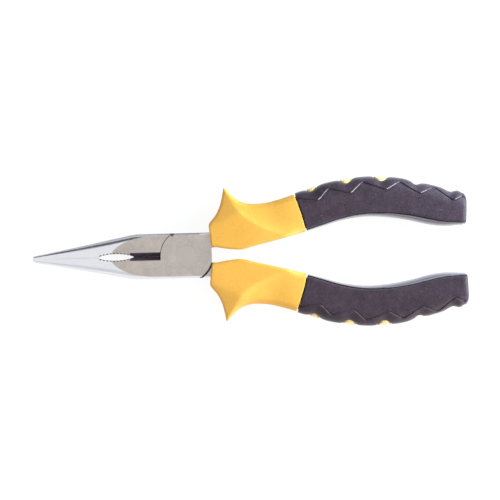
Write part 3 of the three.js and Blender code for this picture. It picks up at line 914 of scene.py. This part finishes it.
def ground_steel():
    """Belt-ground flats: satin, with fine lines across the tool and a few deeper scratches."""
    f = Finish("ground_steel", metallic=1.0)
    lines = f.noise(900, 4, 0.7, f.stretched((0.12, 6.0, 1.0), 0.05))
    fine = f.noise(2600, 2, 0.6, f.stretched((0.1, 3.0, 1.0), -0.03))
    cloud = f.noise(170, 3)
    speck = f.noise(1100, 3, 0.7)
    mottle = f.ranged(f.math("ADD", cloud, speck), 0.75, 1.25, 0, 1)
    shade = f.blend(mottle, tone(0.42, 0.37, 0.334), tone(0.525, 0.462, 0.418))
    scratch = f.ranged(lines, 0.6, 0.7, 0, 0.55)
    f.colour(scratch, shade, tone(0.64, 0.60, 0.56))
    f.roughen(f.math("ADD", fine, cloud), 0.7, 1.3, 0.26, 0.38)
    f.bump(f.math("ADD", lines, fine), 0.000012)
    return f.material


def polished_steel():
    """The nose and the sides: polished along their length."""
    f = Finish("polished_steel", metallic=1.0)
    lines = f.noise(700, 3, 0.6, f.stretched((0.05, 4.0, 4.0)))
    cloud = f.noise(140, 2)
    f.colour(lines, tone(0.70, 0.70, 0.73), tone(0.80, 0.80, 0.83))
    f.roughen(f.math("ADD", lines, cloud), 0.7, 1.3, 0.14, 0.26)
    f.bump(lines, 0.000005)
    return f.material


def grained_steel(name, metallic, grain, tones, roughness, bump):
    """Steel that isn't ground or polished, with a fine grain."""
    f = Finish(name, metallic=metallic)
    value = f.noise(*grain)
    f.colour(value, *(tone(*t) for t in tones))
    f.roughen(value, 0.3, 0.7, *roughness)
    f.bump(value, bump)
    return f.material


def toothed_steel_painted_shade():
    """The cut faces of the teeth, much darker than the polished steel as painted shade between the teeth."""
    tones = (0.24, 0.23, 0.23), (0.38, 0.37, 0.37)
    return grained_steel("toothed_steel_painted_shade", 1.0, (1800, 3), tones, (0.3, 0.5), 0.00001)


def recess_steel_painted_shade():
    """The unground walls of the cutter slot and the lap, much darker than the flats: partly the duller
    unground steel, partly painted shade in these recesses.
    """
    tones = (0.13, 0.095, 0.125), (0.19, 0.145, 0.18)
    return grained_steel("recess_steel_painted_shade", 0.3, (1200, 4), tones, (0.5, 0.7), 0.00002)


def forged_steel():
    """The tangs, as forged."""
    tones = (0.16, 0.155, 0.16), (0.3, 0.29, 0.29)
    return grained_steel("forged_steel", 0.9, (900, 5), tones, (0.4, 0.6), 0.00003)


def rivet_steel():
    """The ground ends of the rivet, nearly as bright as the flat round them."""
    f = Finish("rivet_steel", metallic=1.0)
    lines = f.noise(900, 4, 0.7, f.stretched((0.12, 6.0, 1.0), 0.05))
    cloud = f.noise(300, 2)
    f.colour(lines, tone(0.45, 0.398, 0.36), tone(0.50, 0.443, 0.4))
    f.roughen(cloud, 0.3, 0.7, 0.28, 0.38)
    f.bump(lines, 0.000006)
    return f.material


def yellow_plastic():
    """Satin moulded plastic, with a faint orange peel and small scuffs."""
    f = Finish("yellow_plastic", ior=1.46)
    cloud = f.noise(60, 2)
    peel = f.noise(1500, 2)
    grain = f.noise(5200, 2)
    mottle = f.ranged(f.math("ADD", cloud, peel), 0.7, 1.3, 0, 1)
    shade = f.blend(mottle, tone(0.50, 0.25, 0.026), tone(0.585, 0.301, 0.042))
    f.colour(f.math("MULTIPLY", f.dots(900, 0.12, 9), 0.5), shade, tone(0.75, 0.5, 0.2))
    f.roughen(f.math("ADD", peel, cloud), 0.7, 1.3, 0.3, 0.44)
    f.bump(f.math("ADD", peel, f.math("MULTIPLY", grain, 0.4)), 0.000012)
    return f.material


def pad_plastic_painted_light():
    """The core's pads, glossier than its guard, and paler as painted light falling on them."""
    f = Finish("pad_plastic_painted_light", ior=1.46, coat_weight=0.6, coat_roughness=0.3)
    cloud = f.noise(160, 3)
    # Paler than the guard's yellow: painted light.
    f.colour(cloud, tone(0.66, 0.46, 0.16), tone(0.74, 0.54, 0.22))
    f.roughen(cloud, 0.3, 0.7, 0.35, 0.5)
    f.bump(f.noise(1500, 2), 0.00001)
    return f.material


def smooth_rubber_painted_sheen():
    """The overmould's inner side, glossier than its textured faces, and lighter in colour as a painted sheen.
    """
    f = Finish("smooth_rubber_painted_sheen", ior=1.5, coat_weight=1.0, coat_roughness=0.25, coat_ior=1.8)
    cloud = f.noise(70, 3)
    grain = f.noise(2300, 3)
    # Several times lighter than the black rubber: a painted sheen.
    f.colour(cloud, tone(0.09, 0.075, 0.095), tone(0.13, 0.11, 0.14))
    f.roughen(f.math("ADD", grain, cloud), 0.7, 1.3, 0.3, 0.45)
    f.bump(grain, 0.00001)
    return f.material


def glossy_rubber_painted_highlight():
    """A glossier rubber for the wall along the zigzag on the upper grip, lighter in colour as a painted
    highlight where that wall catches the light.
    """
    f = Finish("glossy_rubber_painted_highlight", ior=1.5, coat_weight=1.0, coat_roughness=0.2, coat_ior=2.1)
    grain = f.noise(2300, 3)
    # Much lighter than the black rubber: a painted highlight.
    f.colour(grain, tone(0.10, 0.085, 0.11), tone(0.15, 0.13, 0.165))
    f.roughen(grain, 0.3, 0.7, 0.3, 0.45)
    f.bump(grain, 0.00001)
    return f.material


def black_rubber():
    """Soft overmould: matte, with a fine eroded texture and dust in its pores."""
    f = Finish("black_rubber", ior=1.42, sheen_weight=0.2, sheen_roughness=0.4)
    cloud = f.noise(120, 4)
    grain = f.noise(1500, 5, 0.7)
    pores = f.noise(6500, 2)
    patches = f.math("ADD", f.noise(420, 4, 0.65), f.math("MULTIPLY", cloud, 0.4))
    mottle = f.ranged(f.math("ADD", patches, grain), 1.0, 1.4, 0, 1)
    shade = f.blend(mottle, tone(0.007, 0.001, 0.005), tone(0.029, 0.01, 0.024))
    dust = f.math("MULTIPLY", f.dots(900, 0.2, 9), 0.35)
    f.colour(dust, shade, tone(0.3, 0.28, 0.3))
    f.roughen(f.math("ADD", grain, cloud), 0.7, 1.3, 0.5, 0.68)
    f.bump(f.math("ADD", grain, f.math("MULTIPLY", pores, 0.5)), 0.00008)
    return f.material


# ---- Placing the pieces ----------------------------------------------

def face_facts(mesh):
    centre = np.zeros(len(mesh.polygons) * 3)
    normal = np.zeros(len(mesh.polygons) * 3)
    mesh.polygons.foreach_get("center", centre)
    mesh.polygons.foreach_get("normal", normal)
    return centre.reshape(-1, 3), normal.reshape(-1, 3)


def shade_smooth(mesh, angle_deg, flats_crisp):
    """Smooths the faces, but keeps an edge sharp past an angle and wherever a flat face ends."""
    centre, normal = face_facts(mesh)
    flat = (np.abs(normal[:, 2]) > 0.999) & (np.abs(np.abs(centre[:, 2]) - HALF_THICK) < 0.01)
    mesh.polygons.foreach_set("use_smooth", ~flat if flats_crisp else np.ones(len(flat), bool))
    sides = {}
    for polygon in mesh.polygons:
        for key in polygon.edge_keys:
            sides.setdefault(key, []).append(polygon.index)
    limit = math.cos(math.radians(angle_deg))
    sharp = np.zeros(len(mesh.edges), bool)
    for edge in mesh.edges:
        pair = sides.get(edge.key, ())
        if len(pair) == 2:
            a, b = pair
            crisp = flats_crisp and flat[a] != flat[b]
            sharp[edge.index] = crisp or normal[a] @ normal[b] < limit
    mesh.attributes.new("sharp_edge", "BOOLEAN", "EDGE").data.foreach_set("value", sharp)


def place(piece, name, half_turn, body, node, slot):
    """Puts a copy of a finished piece where the frame has its node."""
    copy = bpy.data.objects.new(name, piece.data.copy())
    bpy.context.scene.collection.objects.link(copy)
    turn = Matrix.Rotation(math.pi, 4, "X") if half_turn else Matrix.Identity(4)
    copy.data.transform(Matrix.Scale(MM, 4) @ Matrix.Translation((0, 0, MIDDLE_Z)) @ turn)
    copy.data.name = name
    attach(copy, body)
    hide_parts(node)
    return copy


CREASE_DEG = {"steel": 28, "core": 40, "grip": 38}  # edges past these angles stay sharp


def make_steel():
    half = forged_half()
    mesh = half.data
    finishes = [polished_steel(), ground_steel(), toothed_steel_painted_shade(), recess_steel_painted_shade(), forged_steel()]
    mesh.materials.clear()
    for finish in finishes:
        mesh.materials.append(finish)
    mesh.polygons.foreach_set("material_index", steel_finish(*face_facts(mesh)))
    shade_smooth(mesh, CREASE_DEG["steel"], True)
    place(half, "front_half_steel", False, "front_half", "front_half_forging", "forged_steel")
    place(half, "rear_half_steel", True, "rear_half", "rear_half_forging", "forged_steel")
    bpy.data.objects.remove(half)


def make_rivet():
    rivet = lathe("rivet_blank", rivet_profile(0, 0))
    rivet.data.materials.append(rivet_steel())
    shade_smooth(rivet.data, CREASE_DEG["steel"], True)
    place(rivet, "rivet", False, "rear_half", "pivot_rivet", "rivet_steel")
    bpy.data.objects.remove(rivet)


# The grip's finishes, in the order in which make_handles adds them.
MATTE, SMOOTH_PAINTED_SHEEN, GLOSSY_PAINTED_HIGHLIGHT = range(3)


def grip_finish(centre, normal, painted_highlight_wall):
    """The finish of each face of a grip: its inner side is smooth with a painted sheen, and its zigzag wall
    may be glossy with a painted highlight.
    """
    x, y, z = centre.T
    depth = y - grip_inner(x)
    reach = 0.25 + grip_swell(x)
    inner = (depth < reach) & (np.abs(z) < GRIP_HALF_THICK - 1.0) & (normal[:, 1] < -0.2)
    away, _ = line_distance(x, y, ZIGZAG_LINE[::3])
    wall = (away < 0.4) & (np.abs(z) > GRIP_HALF_THICK - 2) & (np.abs(normal[:, 2]) < 0.96)
    wall &= (normal[:, 0] > 0.15) & (normal[:, 1] < -0.1)
    return np.where(inner, SMOOTH_PAINTED_SHEEN, np.where(wall & painted_highlight_wall, GLOSSY_PAINTED_HIGHLIGHT, MATTE))


def pad_finish(centre):
    """1 for the faces of the core's pads that show in the windows, which take the paler plastic with painted
    light, and 0 elsewhere.
    """
    x, y, _ = centre.T
    return ((x > JUNCTION["inner"][0]) & (y > grip_outer(x) - 3)).astype(int)


def make_handles():
    core, grip = handle_core(), handle_grip()
    core_finishes = (yellow_plastic(), pad_plastic_painted_light())
    grip_finishes = (black_rubber(), smooth_rubber_painted_sheen(), glossy_rubber_painted_highlight())
    for piece, kind, finishes in ((core, "core", core_finishes), (grip, "grip", grip_finishes)):
        piece.data.materials.clear()
        for finish in finishes:
            piece.data.materials.append(finish)
        shade_smooth(piece.data, CREASE_DEG[kind], False)
    core.data.polygons.foreach_set("material_index", pad_finish(face_facts(core.data)[0]))
    for side, turned, body in (("upper", False, "front_half"), ("lower", True, "rear_half")):
        place(core, side + "_core", turned, body, side + "_handle_core", "yellow_plastic")
        # Only the upper grip's zigzag wall takes the painted highlight.
        finish = grip_finish(*face_facts(grip.data), painted_highlight_wall=not turned)
        grip.data.polygons.foreach_set("material_index", finish)
        place(grip, side + "_grip", turned, body, side + "_handle_grip", "black_rubber")
    bpy.data.objects.remove(core)
    bpy.data.objects.remove(grip)


# ---- Studio ----------------------------------------------------------

def make_floor():
    gap, half = 0.0002, 1.5
    level = cad_box[0][2] - gap
    mesh = bpy.data.meshes.new("floor")
    mesh.from_pydata([(-half, -half, level), (half, -half, level), (half, half, level), (-half, half, level)],
                     [], [(0, 1, 2, 3)])
    floor = bpy.data.objects.new("floor", mesh)
    bpy.context.scene.collection.objects.link(floor)
    finish = Finish("floor_paper", roughness=0.9, base_color=tone(0.09, 0.09, 0.09))
    finish.shader.inputs["Emission Color"].default_value = tone(1, 1, 1)
    finish.shader.inputs["Emission Strength"].default_value = 0.9
    mesh.materials.append(finish.material)


def area_light(name, place, size, watts, colour=(1, 1, 1)):
    """A square soft light that faces the middle of the tool."""
    light = bpy.data.lights.new(name, "AREA")
    light.size, light.energy, light.color = size, watts, colour
    made = bpy.data.objects.new(name, light)
    made.location = place
    aim = Vector((0.025, 0, 0)) - made.location
    made.rotation_euler = aim.to_track_quat("-Z", "Y").to_euler()
    made.visible_camera = False
    bpy.context.scene.collection.objects.link(made)


def make_cards():
    """Three cards for the steel to mirror, which only reflections see.

    A dark one stands beside the nose, a brown one beside the head, and a grey one lies on the floor.
    """
    near, far, left, middle, right = 0.0105, 0.105, -0.14, -0.012, 0.06
    low, high, top = cad_box[0][2], 0.065, 0.2
    dark = [(left, far, low), (middle, far, low), (middle, far, high), (left, far, high)]
    brown = [(middle, far, low), (right, far, low), (right, far, top), (middle, far, top)]
    level = [(left, near, low), (right, near, low), (right, far, low), (left, far, low)]
    shades = ((0.07, 0.07, 0.07), (0.27, 0.22, 0.19), (0.34, 0.34, 0.34))
    for name, corners, shade in zip(("dark_card", "brown_card", "low_card"), (dark, brown, level), shades):
        mesh = bpy.data.meshes.new(name)
        mesh.from_pydata(corners, [], [(0, 1, 2, 3)])
        card = bpy.data.objects.new(name, mesh)
        card.visible_camera = card.visible_shadow = card.visible_diffuse = False
        bpy.context.scene.collection.objects.link(card)
        mesh.materials.append(Finish(name, roughness=0.9, base_color=tone(*shade)).material)


def make_light():
    world = bpy.data.worlds.new("studio")
    world.use_nodes = True
    background = world.node_tree.nodes["Background"]
    background.inputs["Color"].default_value = tone(0.95, 0.97, 1.0)
    background.inputs["Strength"].default_value = 0.86
    bpy.context.scene.world = world
    area_light("overhead", (0.0, 0.2, 1.2), 4.0, 10.0)
    area_light("side", (1.9, 0.3, 0.4), 1.2, 125.0, (0.92, 0.95, 1.0))
    area_light("end", (0.15, 0.075, 0.06), 0.1, 0.3, (0.55, 0.84, 1.0))
    area_light("glint", (0.64, -0.78, 0.36), 0.65, 8.0)


def make_camera():
    """A long lens that looks straight down, turned a little about its own line of sight."""
    distance, field, roll = 2.4, 0.1835, math.radians(-1.45)
    x, y = 0.02335, 0.00147
    camera = bpy.data.cameras.new("camera")
    camera.lens = camera.sensor_width * distance / field
    made = bpy.data.objects.new("camera", camera)
    made.location = (x, y, MIDDLE_Z * MM + distance)
    made.rotation_euler = (0, 0, roll)
    bpy.context.scene.collection.objects.link(made)
    bpy.context.scene.camera = made


make_camera()
make_light()
make_floor()
make_cards()
make_steel()
make_rivet()
make_handles()
bpy.context.scene.view_settings.view_transform = "Standard"
